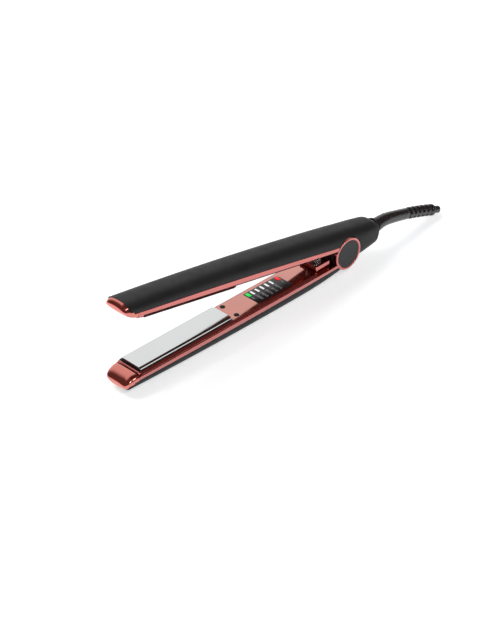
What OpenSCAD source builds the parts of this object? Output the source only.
// Hair straightening iron: two mirrored arms on one hinge, floating plates,
// a spring that opens the arms, two push keys and a swivelling cord.
// Row frame: +X runs back towards the cord, +Z is up, -Y is the near side.
// The origin is the centre of the flat rest face under the lower arm.
// Arm frame used inside the modules: u runs from the hinge axis towards the tip,
// y is across the arm (+y is the near side), z points outwards from the mating plane.
// "Front" is towards the tip, "rear" towards the cord.

/* [Opening] */
// Angle between the arms when the spring holds them open, degrees
open_angle = 11; // [8:0.5:12]

/* [Arms] */
// Half width of the arm at its rim
rim_y = 14.1; // [13.6:0.1:14.6]
// Height of the arm's outer crown above the mating plane
crown_z = 20.4; // [20:0.1:21]
// Distance from the hinge axis to the front of the lower nose
nose_u = 251; // [250:0.5:253]
// How much further the upper nose reaches than the lower one
nose_extra = 5; // [0:0.5:5.5]
// Position of the seam between front cover and handle shell
seam_u = 123.8; // [120.8:0.5:123.8]
// Wall thickness of the outer shells
wall = 1.8; // [1.4:0.1:2.2]

/* [Plates] */
// Rear end of the heated plate, from the hinge axis
plate_u = 134; // [134:0.5:135]
// Length of the heated plate
plate_len = 100; // [98:0.5:100]
// Half width of the heated plate
plate_y = 12.05; // [11.8:0.05:12.1]
// Half width of the flat part of the plate, inside its bevels
flat_y = 9.05; // [8.5:0.05:9.5]

/* [Hinge] */
// Radius of the round hinge cheeks
ring_r = 14.6; // [14:0.1:14.8]
// Radius of the disc set into each cheek
disc_r = 12.3; // [11.5:0.1:12.6]
// Outer face of the hinge cheeks, from the centre plane
ring_y = 13.8; // [13.4:0.1:13.9]
// Radius of the hinge pin
pin_r = 3; // [2.6:0.1:3.2]

/* [Display and keys] */
// Front end of the display window
disp_u1 = 101.6; // [100:0.1:102]
// Rear end of the display window
disp_u0 = 61.9; // [61:0.1:64]

/* [Cord] */
// Height of the cord axis above the mating plane
cord_z = 10; // [9.5:0.1:10.2]
// Radius of the bend relief
relief_r = 4.5; // [4.3:0.05:4.6]
// Radius of the cord's outer sheath
sheath_r = 3.2; // [2.8:0.1:3.4]

/* [Hidden] */
$fn = 64;

sides = [-1, 1];        // far and near side of an arm
rest_z = 19.9;          // rest face of the lower shell
origin_u = 88;          // centre of the rest face along the arm
shell_z = 9.4;          // joint line between the rim band and the outer shell
band_y = 13.75;         // half width at that joint line
ledge_z = 5.2;          // inner edge of the rim band
seam_gap = 0.1;         // each shell stops this far from the seam
panel_z = 3.3;          // face of the inner panel
panel_t = 1.8;
panel_u0 = 36;          // rear and front end of the inner panel
panel_u1 = 133.3;
bar_u0 = 234.8;         // rear of the raised bar across the tip
cap_u = 238;            // rear of the tip cap
lip = 3.6;              // how far the nose shows in front of the shell
plate_u1 = plate_u + plate_len;
screw_u = 125.6;        // panel screws
screw_y = 8;
pilot_r = 1.25;         // their shank and its hole
run = 0.05;             // running clearance, radial
barrel_r = 14.2;        // hinge barrel of the upper arm
barrel_y = 8.55;
cheek_y = 9.5;          // inner face of the hinge cheeks
cheek_clear_r = 14.95;  // space left around the cheeks
disc_seat_y = 12.2;     // inner face of the hinge discs
head_y = 11.35;         // seat under the heads of pin and hinge screw

shell_color = [0.17, 0.17, 0.18];
housing_color = [0.76, 0.42, 0.37];
cap_color = [0.72, 0.36, 0.31];
panel_color = [0.83, 0.55, 0.49];
screw_color = [0.08, 0.08, 0.08];
plate_color = [0.84, 0.85, 0.85];
block_color = [0.7, 0.7, 0.72];
ceramic_color = [0.93, 0.93, 0.9];
thermistor_color = [0.85, 0.6, 0.3];
carrier_color = [0.07, 0.07, 0.07];
cushion_color = [0.75, 0.3, 0.2];
lead_color = [0.8, 0.15, 0.12];
pin_color = [0.75, 0.75, 0.77];
disc_color = [0.2, 0.2, 0.21];
contact_color = [0.85, 0.7, 0.35];

// ---- arm profile along u ---------------------------------------------------
crown_peak_u = 75;
tail_end_u = -41;       // rear face of the tail
tail_taper_u = -14;     // the tail narrows behind this
tail_round_u = -32;     // its crown drops behind this
belly_u = -4.4;         // its belly rises behind this
belly_z = -13.9;

function crown(u) = u > crown_peak_u
  ? crown_z - 4.2 * pow((u - crown_peak_u) / 175, 2)
  : crown_z - 1.4 * pow((crown_peak_u - u) / 112, 2);
function lower_crown(u) = u > 60 ? crown(u) : crown_z - 0.03 - 5.4 * pow((60 - u) / 56, 2.3);
function half_width(u) =
  u < 30 ? band_y - 0.75 * pow(min(1, (30 - u) / 30), 2)
  : u > 225 ? band_y - 0.5 * pow((u - 225) / 30, 2)
  : band_y;
function tail_half_width(u) = u > tail_taper_u ? half_width(u)
  : half_width(0) - 2.3 * pow((tail_taper_u - u) / 27, 1.6);
function tail_crown(u) =
  crown(u) - (u > tail_round_u ? 0 : 3.2 * pow((tail_round_u - u) / 9, 2));
function tail_belly(u) = u > belly_u ? belly_z : belly_z + 0.319 * (belly_u - u);

// ---- sections across the arm -----------------------------------------------
crown_power = 2.7;      // squareness of the shell section
belly_power = 2.4;      // squareness of the tail's belly
arch_steps = 26;        // steps from one side of the arch to the other

// superellipse coordinate from a cosine or sine
function squared(value, power) = (value < 0 ? -1 : 1) * pow(abs(value), 2 / power);
function arch(u, half_w, base, top) =
  [for (i = [0:arch_steps]) let (angle = 180 * i / arch_steps)
    [u, half_w * squared(cos(angle), crown_power),
      base + (top - base) * pow(max(0, sin(angle)), 2 / crown_power)]];
// arch over its base line, with straight sides going skirt below it
function arch_section(u, half_w, base, top, skirt) = concat(
  arch(u, half_w, base, top),
  skirt > 0 ? [[u, -half_w, base - skirt], [u, half_w, base - skirt]] : []);
// arch above the joint line, rounded belly below it
function tail_section(u, inset, belly_inset) =
  let (half_w = tail_half_width(u) - inset, bottom = tail_belly(u) + belly_inset)
  concat(
    arch(u, half_w, shell_z, tail_crown(u) - inset),
    [for (i = [1:arch_steps - 1]) let (angle = 180 * i / arch_steps)
      [u, -half_w * squared(cos(angle), belly_power),
        shell_z - (shell_z - bottom) * pow(max(0, sin(angle)), 2 / belly_power)]]);

// solid through a list of sections with equal point counts
module loft(sections) {
  last = len(sections) - 1;
  count = len(sections[0]);
  polyhedron(
    points = [for (section = sections) each section],
    faces = concat(
      [[for (i = [0:count - 1]) i]],
      [[for (i = [count - 1:-1:0]) last * count + i]],
      [for (k = [0:last - 1]) for (i = [0:count - 1]) let (j = (i + 1) % count)
        [k * count + i, (k + 1) * count + i, (k + 1) * count + j, k * count + j]]),
    convexity = 10);
}

// ---- placement and basic solids --------------------------------------------
module place() translate([origin_u, 0, rest_z]) rotate([0, 0, 180]) children();
module on_lower() place() mirror([0, 0, 1]) children();
module on_upper() place() rotate([0, -open_angle, 0]) children();
// turned parts of the cord: z of the children becomes u
module on_cord_axis(u = 0) translate([u, 0, cord_z]) rotate([0, 90, 0]) children();

module box(u_from, u_to, y_from, y_to, z_from, z_to)
  translate([u_from, y_from, z_from]) cube([u_to - u_from, y_to - y_from, z_to - z_from]);
// box centred across the arm
module mid_box(u_from, u_to, half_w, z_from, z_to)
  box(u_from, u_to, -half_w, half_w, z_from, z_to);
// box on one side of the arm
module side_box(side, u_from, u_to, inner, outer, z_from, z_to)
  box(u_from, u_to, min(side * inner, side * outer), max(side * inner, side * outer),
    z_from, z_to);

// cylinders along z and u
module z_cyl(u, y, radius, z_from, z_to)
  translate([u, y, z_from]) cylinder(r = radius, h = z_to - z_from, $fn = 32);
module u_cyl(radius, u_from, u_to, y = 0, z = 0)
  translate([u_from, y, z]) rotate([0, 90, 0]) cylinder(r = radius, h = u_to - u_from, $fn = 64);
// cylinders on the hinge axis: any, on one side, and right across
module hinge_cyl(radius, y_from, y_to)
  translate([0, y_from, 0]) rotate([-90, 0, 0]) cylinder(r = radius, h = y_to - y_from, $fn = 96);
module side_cyl(side, radius, inner, outer)
  hinge_cyl(radius, side < 0 ? -outer : inner, side < 0 ? -inner : outer);
module hinge_bore(radius) hinge_cyl(radius, -30, 30);
module cheek_clearance()
  for (side = sides) side_cyl(side, cheek_clear_r, barrel_y + 0.5, 30);

// y-z outline extruded along u
module along(u_from, u_to)
  translate([u_from, 0, 0]) rotate([90, 0, 90]) linear_extrude(u_to - u_from) children();
// u-z outline extruded across the arm
module across() rotate([90, 0, 0]) translate([0, 0, -40]) linear_extrude(80) children();

// ---- outer shells ----------------------------------------------------------
edge_y = 14.1;          // half width of the shell's front edge
boss_r = 3;

// plan outline of the shell's front edge, nearly straight with rounded corners
module front_edge_plan(front_u) polygon(concat(
  [[100, -20], [cap_u, -20]],
  [for (i = [0:32]) let (y = -edge_y * cos(180 * i / 32))
    [cap_u + (front_u - cap_u) * pow(max(0, 1 - pow(abs(y) / edge_y, 9)), 0.5), y]],
  [[cap_u, 20], [100, 20]]));

module screw_boss(side) intersection() {
  difference() {
    z_cyl(screw_u, side * screw_y, boss_r, 7, 18.6);
    z_cyl(screw_u, side * screw_y, pilot_r, 6.5, 13);
  }
  // keeps the boss 0.4 into the wall
  loft([for (u = [seam_u + seam_gap, 135])
    arch_section(u, half_width(u) - wall + 0.4, shell_z, crown(u) - wall + 0.4, skirt = 5)]);
}

// extra lengthens the front end
module front_shell(extra = 0) {
  front_u = nose_u + extra - lip;
  middle = [150, 175, 195, 212, 227, 239];
  intersection() {
    difference() {
      loft([for (u = concat([seam_u + seam_gap], middle, [front_u + 0.5]))
        arch_section(u, half_width(u), shell_z, crown(u), skirt = 0)]);
      loft([for (u = concat([seam_u - 2], middle, [front_u + 2.5]))
        arch_section(u, half_width(u) - wall, shell_z, crown(u) - wall, skirt = 3)]);
    }
    translate([0, 0, -5]) linear_extrude(40)
      translate([extra, 0]) front_edge_plan(front_u - extra);
  }
  for (side = sides) screw_boss(side);
}

// cuts the children flat at the rest face
module with_rest_face() difference() {
  children();
  mid_box(0, 260, 20, rest_z, 30);
}

module lower_front_cover() color(shell_color) on_lower() with_rest_face() front_shell();
module upper_front_cover() color(shell_color) on_upper() front_shell(nose_extra);

module lower_handle_shell() color(shell_color) on_lower() with_rest_face() difference() {
  middle = [20, 27, 35, 45, 60, 90];
  loft([for (u = concat([2, 6, 10, 15], middle, [seam_u - seam_gap]))
    arch_section(u, half_width(u), shell_z, lower_crown(u), skirt = 0)]);
  loft([for (u = concat([12], middle, [seam_u - seam_gap + 2]))
    arch_section(u, half_width(u) - wall, shell_z, lower_crown(u) - wall, skirt = 3)]);
  hinge_bore(ring_r + 0.15);
}

// side region of the upper handle shell, above its slanting seam with the tail cap
module above_tail_seam() across()
  polygon([[-7.8, 7.4], [-38, 19.8], [-38, 40], [130, 40], [130, 7.4]]);

module upper_handle_shell() color(shell_color) on_upper() difference() {
  middle = [-35, -31, -22, -14, -6, 0, 10, 20, 30, 50, 75];
  intersection() {
    difference() {
      loft([for (u = concat([-38], middle, [seam_u - seam_gap]))
        arch_section(u, tail_half_width(u), shell_z, tail_crown(u), skirt = 0)]);
      loft([for (u = concat([-40], middle, [seam_u + 2]))
        arch_section(u, tail_half_width(u) - wall, shell_z, tail_crown(u) - wall, skirt = 3)]);
    }
    above_tail_seam();
  }
  cheek_clearance();
}

// ---- plated housings -------------------------------------------------------
opening_y = 10.95;      // half width of the carrier opening

module rim_frame(rear_u, extra) difference() {
  along(rear_u, cap_u + extra)
    polygon([[-rim_y, ledge_z], [rim_y, ledge_z], [band_y, shell_z], [-band_y, shell_z]]);
  // open outer side of the frame
  along(rear_u - 1, cap_u - 3 + extra)
    polygon([[-12.4, 6.8], [12.4, 6.8], [12.4, 12], [-12.4, 12]]);
  mid_box(40, 120, 10.9, 4, 8);                          // under the panel
  mid_box(plate_u, bar_u0, opening_y, 4, 8);             // carrier opening
  mid_box(panel_u0 - 22.2, panel_u0, 11, 4, 6);          // recess behind the panel
}

// wall with a sloping outer side, from the ledge in to face_z
module sloping_wall(side, u_from, u_to, inner, face_y, face_z)
  along(u_from, u_to) polygon([
    [side * inner, face_z], [side * face_y, face_z],
    [side * 13.1, ledge_z + 0.02], [side * inner, ledge_z + 0.02]]);

// box-shaped tower around the opening spring
module spring_tower() difference() {
  mid_box(18, 35, 10, -1, 6.8);
  mid_box(19.5, 33.5, 8.5, -2, 6.05);
}

// round socket on the upper housing, opposite the spring
module spring_socket() difference() {
  z_cyl(28.2, 0, 3.4, 3.6, 6.8);
  z_cyl(28.2, 0, 1.8, 3, 6);
}

module hinge_cheek(side) difference() {
  union() {
    side_cyl(side, ring_r, cheek_y, ring_y);
    along(0, 18) polygon([[side * cheek_y, ledge_z], [side * 13.1, ledge_z],
      [side * 13.1, shell_z], [side * cheek_y, shell_z]]);
  }
  side_cyl(side, disc_r + 0.05, disc_seat_y, 30);
  hinge_bore(pin_r);
  side_cyl(side, 5.2, head_y, 30);
}

module housing(is_lower) {
  extra = is_lower ? 0 : nose_extra;
  difference() {
    union() {
      rim_frame(is_lower ? 6 : 8, extra);
      for (side = sides) {
        side_box(side, plate_u - 0.6, bar_u0 + 0.4, opening_y, 12.2, panel_z, 5.3);
        sloping_wall(side, panel_u0, plate_u, 12.0, 12.3, panel_z);
        // higher beside the plate
        sloping_wall(side, panel_u1 + 0.1, bar_u0 + 0.4, 12.05, 12.25, 2.56);
      }
      // raised bar across the tip, and the wall outside it
      mid_box(bar_u0, 237 + extra, 12, 2.5, 5.3);
      mid_box(235 + extra, cap_u + extra, 12.4, 5.2, 9.3);
      if (is_lower) spring_tower();
      else spring_socket();
    }
    mid_box(panel_u0 - 0.1, panel_u1 + 0.1, plate_y + 0.1, 0, panel_z + panel_t);
    for (side = sides) z_cyl(screw_u, side * screw_y, 1.5, 4, 8);
    if (is_lower) {
      hinge_cyl(ring_r + 0.1, -cheek_y, cheek_y);
      hinge_bore(ring_r - 0.6);
    } else {
      cheek_clearance();
      hinge_cyl(barrel_r + 0.1, -9.1, 9.1);
    }
  }
  if (is_lower) for (side = sides) hinge_cheek(side);
}
module lower_housing() color(housing_color) on_lower() housing(true);
module upper_housing() color(housing_color) on_upper() housing(false);

// ---- nose cap --------------------------------------------------------------
nose_len = nose_u - cap_u;
nose_tip_z = 11;                     // height where the nose closes
nose_bend_u = cap_u + 0.6 * nose_len;   // the outer side starts to round here

function quarter_arc(part) = sqrt(max(0, 1 - pow(part, 2)));
function nose_inner(u) =
  panel_z + (nose_tip_z - panel_z) * (1 - quarter_arc((u - cap_u) / nose_len));
function nose_outer(u) = u < nose_bend_u ? crown(u) - 0.2
  : nose_tip_z + (crown(nose_bend_u) - 0.2 - nose_tip_z)
    * quarter_arc((u - nose_bend_u) / (nose_u - nose_bend_u));
function nose_half_width(u) =
  14.0 * pow(max(0, 1 - pow((u - cap_u) / (nose_len + 0.05), 1 / 0.52)), 1 / 7);
function nose_section(u) =
  let (inner = nose_inner(u), outer = nose_outer(u), half_w = nose_half_width(u))
  [for (i = [0:35]) [u, half_w * squared(cos(10 * i), 3.4),
    (inner + outer) / 2 + (outer - inner) / 2 * squared(sin(10 * i), 2.9)]];
// stations as parts of the nose length
nose_stations = [0.004, 0.12, 0.26, 0.42, 0.57, 0.7, 0.81, 0.9, 0.96, 0.992];

module tip_cap(extra = 0) translate([extra, 0, 0]) intersection() {
  difference() {
    loft([for (part = nose_stations) nose_section(cap_u + part * nose_len)]);
    // room for the shell, less the tongue that carries the cap inside it
    difference() {
      translate([0, 0, shell_z - 0.04]) linear_extrude(20) front_edge_plan(nose_u - lip + 0.1);
      loft([for (u = [237, 252]) arch_section(u, half_width(u) - wall - 0.15,
        shell_z - 0.1, crown(252) - wall - 0.3, skirt = 1)]);
    }
    // hollow
    loft([for (u = [237, 247.5]) arch_section(u, 10.8, shell_z - 1.5, 13.2, skirt = 1)]);
  }
  mid_box(cap_u, 260, 30, 0, 30);
}
module lower_tip_cap() color(cap_color) on_lower() tip_cap();
module upper_tip_cap() color(cap_color) on_upper() tip_cap(nose_extra);

// ---- inner panels, display and keys ----------------------------------------
screw_head_z = 4.4;     // seat of the panel screw heads
bar_us = [for (i = [0:4]) 94.2 - 5.4 * i];   // level bars, front to rear
green_key_u = 98.9;
red_key_u = 64.8;
key_us = [green_key_u, red_key_u];
key_y0 = -7.9;          // edges of the key windows
key_y1 = -2.6;
key_y = (key_y0 + key_y1) / 2;
disp_y0 = -8.85;        // far edge of the overlay
disp_y1 = 9.5;
corner_r = 3;
board_z = 7.6;          // inner face of the control board

module panel(has_display) difference() {
  mid_box(panel_u0, panel_u1, plate_y, panel_z, panel_z + panel_t);
  for (side = sides) {
    z_cyl(screw_u, side * screw_y, 2.4, 3, screw_head_z);
    z_cyl(screw_u, side * screw_y, 1.4, 3, 6);
  }
  if (has_display) {
    box(disp_u0 - 0.1, disp_u1 + 0.1, disp_y0 - 0.1, disp_y1 + 0.1, 3, 4.3);
    box(disp_u0 + 1, disp_u1 - 1, key_y0 - 0.3, key_y1 + 0.3, 3, 6);
  }
}
module lower_inner_panel() color(panel_color) on_lower() panel(true);
module upper_inner_panel() color(panel_color) on_upper() panel(false);

// cross-headed screws
module panel_screws() for (side = sides) difference() {
  union() {
    z_cyl(screw_u, side * screw_y, 2.3, 3.35, screw_head_z);
    z_cyl(screw_u, side * screw_y, pilot_r, screw_head_z, 12);
  }
  translate([screw_u, side * screw_y, 3.6])
    for (angle = [0, 90]) rotate([0, 0, angle]) cube([2.6, 0.6, 1.4], center = true);
}
module lower_panel_screws() color(screw_color) on_lower() panel_screws();
module upper_panel_screws() color(screw_color) on_upper() panel_screws();

module bars(z_from, z_to)
  for (u = bar_us) box(u - 0.9, u + 0.9, key_y0 + 0.4, key_y1 - 0.4, z_from, z_to);

// window plate with one rounded corner, at its rear far end
module overlay_outline() difference() {
  translate([disp_u0, disp_y0]) square([disp_u1 - disp_u0, disp_y1 - disp_y0]);
  translate([disp_u0, disp_y0]) difference() {
    translate([-1, -1]) square([corner_r + 1, corner_r + 1]);
    translate([corner_r, corner_r]) circle(r = corner_r, $fn = 48);
  }
}
module display_overlay() color([0.05, 0.05, 0.06]) on_lower() difference() {
  translate([0, 0, 3.22]) linear_extrude(1.05) overlay_outline();
  bars(3, 5);
  for (u = key_us) box(u - 1.65, u + 1.65, key_y0, key_y1, 3, 5);
}
module level_bars() color([0.92, 0.94, 0.95]) on_lower() bars(3.2, 4.9);

module key(u) {
  box(u - 1.58, u + 1.58, key_y0 + 0.07, key_y1 - 0.07, 3.05, 4.6);
  z_cyl(u, key_y, 1.0, 4.5, 6.6);
}
module green_key() color([0.1, 0.75, 0.3]) on_lower() key(green_key_u);
module red_key() color([0.9, 0.2, 0.2]) on_lower() key(red_key_u);

module control_board() color([0.1, 0.4, 0.2]) on_lower() difference() {
  mid_box(57, 106, 9.5, board_z, board_z + 1.2);
  for (u = [59.5, 103.5]) z_cyl(u, 7, 1.1, 7, 10);
}
module level_leds() color([0.95, 0.95, 0.85]) on_lower()
  for (u = bar_us) box(u - 0.8, u + 0.8, -6.2, -4.2, board_z - 1, board_z);
module key_switches() color([0.2, 0.2, 0.22]) on_lower() for (u = key_us) difference() {
  box(u - 2.2, u + 2.2, key_y - 2.2, key_y + 2.2, board_z - 1.5, board_z);
  z_cyl(u, key_y, 1.08, 6, 7.3);
}

// ---- heated plates ---------------------------------------------------------
plate_back_z = 1.7;     // outer face of the plate, carrying the heater block
heater_z = 3.4;         // floor of the heater pocket
heater_end = 12;        // from each plate end to the heater pocket
thermistor_r = 0.95;
thermistor_y = 5.8;

module plate() along(plate_u, plate_u1) polygon([
  [-flat_y, 0.04], [flat_y, 0.04], [11, 1.25], [plate_y, 1.38], [plate_y, plate_back_z],
  [-plate_y, plate_back_z], [-plate_y, 1.38], [-11, 1.25]]);
module lower_plate() color(plate_color) on_lower() plate();
module upper_plate() color(plate_color) on_upper() plate();

module heater_block() difference() {
  mid_box(plate_u + 3, plate_u1 - 3, 8, plate_back_z, 5.2);
  mid_box(plate_u + heater_end, plate_u1 - heater_end, 3.6, heater_z, 6);
  // grooves from the pocket to the block ends
  for (u = [plate_u + 2, plate_u1 - 12.05]) mid_box(u, u + 10.1, 1, 4.4, 6);
  u_cyl(thermistor_r, plate_u + 2, plate_u + 11.5, thermistor_y, heater_z);
}
module lower_heater_block() color(block_color) on_lower() heater_block();
module upper_heater_block() color(block_color) on_upper() heater_block();

module ceramic_heater()
  mid_box(plate_u + heater_end + 0.2, plate_u1 - heater_end - 0.2, 3.5, heater_z, 4.8);
module lower_ceramic_heater() color(ceramic_color) on_lower() ceramic_heater();
module upper_ceramic_heater() color(ceramic_color) on_upper() ceramic_heater();

module thermistor()
  u_cyl(thermistor_r, plate_u + 2.5, plate_u + 11.5, thermistor_y, heater_z);
module lower_thermistor() color(thermistor_color) on_lower() thermistor();
module upper_thermistor() color(thermistor_color) on_upper() thermistor();

module carrier() difference() {
  flange_z = panel_z - 0.02;
  union() {
    mid_box(plate_u - 0.5, bar_u0 - 0.1, 12.0, 2.55, flange_z);
    mid_box(plate_u + 0.1, bar_u0 - 0.2, 10.8, flange_z, 8.4);
  }
  mid_box(plate_u + 2, plate_u1 - 2, 8.6, 2, 7.2);
  for (side = sides) side_box(side, plate_u + 8, plate_u1 - 8, 4.2, 6.6, 7, 9);
  z_cyl(plate_u + 6, 0, 1.6, 7, 9);
}
module lower_plate_carrier() color(carrier_color) on_lower() carrier();
module upper_plate_carrier() color(carrier_color) on_upper() carrier();

module cushions()
  for (u = [plate_u + 7, plate_u + 49, plate_u1 - 13]) mid_box(u, u + 6, 3.6, 5.25, 7.15);
module lower_cushions() color(cushion_color) on_lower() cushions();
module upper_cushions() color(cushion_color) on_upper() cushions();

// ---- wiring ----------------------------------------------------------------
lead_front_u = 138;     // the leads turn in to the plates here

// straight lead with round ends
module lead(radius, u_from, u_to, y, z) {
  u_cyl(radius, u_from, u_to, y, z);
  for (u = [u_from, u_to]) translate([u, y, z]) sphere(r = radius, $fn = 24);
}
module lower_leads() color(lead_color) on_lower() for (y = [-1.6, 1.6]) {
  lead(0.7, 107, lead_front_u, y, 11);
  z_cyl(lead_front_u, y, 0.7, 9, 11);
  z_cyl(107, y, 0.7, 9.2, 11);
}
module upper_leads() color(lead_color) on_upper() for (y = [-2.4, 2.4]) {
  lead(0.8, -18, lead_front_u, y, 16);
  z_cyl(lead_front_u, y, 0.8, 9, 16);
}
module thermal_fuse() color([0.75, 0.75, 0.7]) on_upper() {
  u_cyl(1.6, 90, 100, 0, 13);
  u_cyl(0.4, 84, 106, 0, 13);
}

// ---- hinge -----------------------------------------------------------------
head_r = 5.1;           // heads of pin and screw
head_out_y = 12.1;
hinge_screw_r = 1.75;
bush_r = 4.6;
bush_flange_r = 6.5;

module hinge_pin() color(pin_color) on_lower() difference() {
  union() {
    hinge_cyl(pin_r, -11.3, head_y);
    hinge_cyl(head_r, head_y, head_out_y);
  }
  hinge_cyl(hinge_screw_r, -30, -3);
}
module hinge_screw() color(pin_color) on_lower() difference() {
  union() {
    hinge_cyl(hinge_screw_r, -head_y, -3.2);
    hinge_cyl(head_r, -head_out_y, -head_y);
  }
  // cross slot
  for (angle = [0, 90]) rotate([0, angle, 0]) translate([-2, -13, -0.4]) cube([4, 1.3, 0.8]);
}
module hinge_disc(side) side_cyl(side, disc_r, disc_seat_y, ring_y - 0.15);
module near_hinge_disc() color(disc_color) on_lower() hinge_disc(1);
module far_hinge_disc() color(disc_color) on_lower() hinge_disc(-1);
module hinge_bushes() color([0.8, 0.65, 0.35]) on_upper() for (side = sides) difference() {
  union() {
    side_cyl(side, bush_r, 1, barrel_y);
    side_cyl(side, bush_flange_r, barrel_y, 9.42);
  }
  hinge_bore(pin_r + run);
}

// helical opening spring in the tower, with one closed turn at each end
spring_u = 27;
spring_r = 5.6;         // to the wire's centre
wire_r = 0.65;
open_turns = 5;
spring_z0 = -9.3;       // ends of the spring
spring_z1 = 6.0;
closed_pitch = 2 * wire_r * 1.02;
spring_rise = spring_z1 - spring_z0 - 2 * wire_r;

function coil_height(angle) = let (turn = angle / 360)
  turn < 1 ? turn * closed_pitch
  : turn > open_turns + 1 ? spring_rise - (open_turns + 2 - turn) * closed_pitch
  : closed_pitch + (turn - 1) / open_turns * (spring_rise - 2 * closed_pitch);
function wire_section(angle) =
  [for (a = [0:45:315]) let (radius = spring_r + wire_r * cos(a))
    [radius * cos(angle), radius * sin(angle),
      coil_height(angle) + wire_r + wire_r * sin(a)]];
module opening_spring() color(block_color) on_lower() translate([spring_u, 0, spring_z0])
  loft([for (angle = [0:15:360 * (open_turns + 2)]) wire_section(angle)]);

// ---- tail and swivelling cord ----------------------------------------------
// side region of the tail cap, below its slanting seam
module below_tail_seam() across() polygon([[16, -30], [16, 7.2], [-7.9, 7.2],
  [-38.1, 19.6], [-38.1, 40], [-70, 40], [-70, -30]]);

module tail_body() intersection() {
  difference() {
    // the last two stations are inset to round the rear edge
    loft([for (u = [tail_end_u, -40.4, -38.9, -36, -32, -28, -24, -20, -14, -8, -4])
      let (inset = u < -39 ? (u > tail_end_u ? 0.6 : 1.8) : 0)
      tail_section(u, inset, inset)]);
    loft([for (u = [-38, -36, -32, -28, -24, -20, -15.5]) tail_section(u, 2, 2.2)]);
  }
  below_tail_seam();
}
module tail_cap() color(shell_color) on_upper() difference() {
  union() {
    tail_body();
    hinge_cyl(barrel_r, -barrel_y, barrel_y);
  }
  cheek_clearance();
  hinge_bore(bush_r);
  for (side = sides) side_cyl(side, bush_flange_r + 0.1, barrel_y, 20);
  u_cyl(5.9, -60, -31, 0, cord_z);
  mid_box(-16, 8, 3.4, 7.2, 30);       // lead channel
  mid_box(8, 30, 20, 7.2, 40);
}

ring_us = [-37.1, -34.7];   // rear edges of the slip rings
slip_ring_w = 1.4;
contact_w = 1;
hub_bore_r = 2.2;
hub_neck_r = 3.2;

// turned outlines: radius, distance along the axis
module swivel_collar() color([0.14, 0.14, 0.15]) on_upper()
  on_cord_axis(-44.5) rotate_extrude($fn = 96) polygon([
    [5.0, 0], [6.4, 0], [7.0, 0.8], [7.2, 3.4], [5.9, 3.4],
    [5.9, 9.5], [5.4, 9.5], [5.4, 3.0], [5.0, 3.0]]);
module swivel_hub() color([0.1, 0.1, 0.1]) on_upper()
  on_cord_axis() rotate_extrude($fn = 96) polygon([
    [hub_bore_r, -45.9], [4.94, -45.9], [4.94, -41.4], [5.33, -41.4],
    [5.33, -38.4], [hub_neck_r, -38.4], [hub_neck_r, -32.5], [hub_bore_r, -32.5]]);
module slip_rings() color(contact_color) on_upper() for (u = ring_us)
  on_cord_axis(u) rotate_extrude($fn = 64)
    translate([hub_neck_r, 0]) square([0.6, slip_ring_w]);
// L-shaped strips, one over the middle of each slip ring
module contact_springs() color(contact_color) on_upper() for (ring_u = ring_us) {
  u = ring_u + (slip_ring_w - contact_w) / 2;
  mid_box(u, u + contact_w, 2, cord_z + 3.86, cord_z + 4.26);
  box(u, u + contact_w, -2, -1.6, cord_z + 3.9, cord_z + 4.98);
}

// ribbed bend relief, cord stub and its three cores, all on the swivel axis
rib_u = -88.6;          // front of the first rib
rib_pitch = 5.3;
rib_count = 6;
rib_w = 2.9;
rib_r = 4.6;
neck_r = 3.7;           // between the ribs
relief_end_u = -119.5;
cord_end_u = -127;
core_r = sheath_r - 0.2;   // sheath inside the relief

module bend_relief() color([0.12, 0.12, 0.12]) on_upper() on_cord_axis() {
  rotate_extrude($fn = 64) polygon(concat(
    [[2.2, -45.95], [5.7, -45.95], [5.75, -47], [5.45, -50], [5.1, -56], [4.8, -63],
      [relief_r, -72], [relief_r, -86.4], [neck_r, -86.4]],
    [for (k = [0:rib_count - 1]) let (front = rib_u - rib_pitch * k, rear = front - rib_w)
      each [[neck_r, front], [rib_r, front], [rib_r, rear], [neck_r, rear]]],
    [[neck_r, relief_end_u], [core_r, relief_end_u], [core_r, -70], [2.2, -70]]));
  // strips joining the ribs on both sides
  for (side = sides)
    translate([-0.8, side > 0 ? 3.5 : -4.45, -119.2]) cube([1.6, 0.95, 119.2 - 86.3]);
}

module cord_cores(radius, u_from, u_to) translate([0, 0, cord_z])
  for (angle = [90, 210, 330]) rotate([angle, 0, 0]) u_cyl(radius, u_from, u_to, 1.5, 0);
module cord_sheath() color([0.1, 0.1, 0.1]) on_upper() difference() {
  union() {
    u_cyl(sheath_r, cord_end_u + 1.6, relief_end_u, 0, cord_z);
    u_cyl(core_r, -120, -70.05, 0, cord_z);
  }
  cord_cores(0.9, -140, -60);
}
module cord_conductors() color([0.75, 0.45, 0.2]) on_upper()
  cord_cores(0.85, cord_end_u, -71);

lower_front_cover();
lower_handle_shell();
lower_housing();
lower_tip_cap();
lower_inner_panel();
lower_panel_screws();
display_overlay();
level_bars();
control_board();
level_leds();
key_switches();
lower_plate_carrier();
lower_cushions();
lower_leads();
hinge_pin();
hinge_screw();
near_hinge_disc();
far_hinge_disc();
opening_spring();
green_key();
red_key();
lower_plate();
lower_heater_block();
lower_ceramic_heater();
lower_thermistor();
upper_front_cover();
upper_handle_shell();
upper_housing();
upper_tip_cap();
upper_inner_panel();
upper_panel_screws();
upper_plate_carrier();
upper_cushions();
upper_leads();
thermal_fuse();
tail_cap();
hinge_bushes();
swivel_collar();
contact_springs();
upper_plate();
upper_heater_block();
upper_ceramic_heater();
upper_thermistor();
swivel_hub();
slip_rings();
bend_relief();
cord_sheath();
cord_conductors();
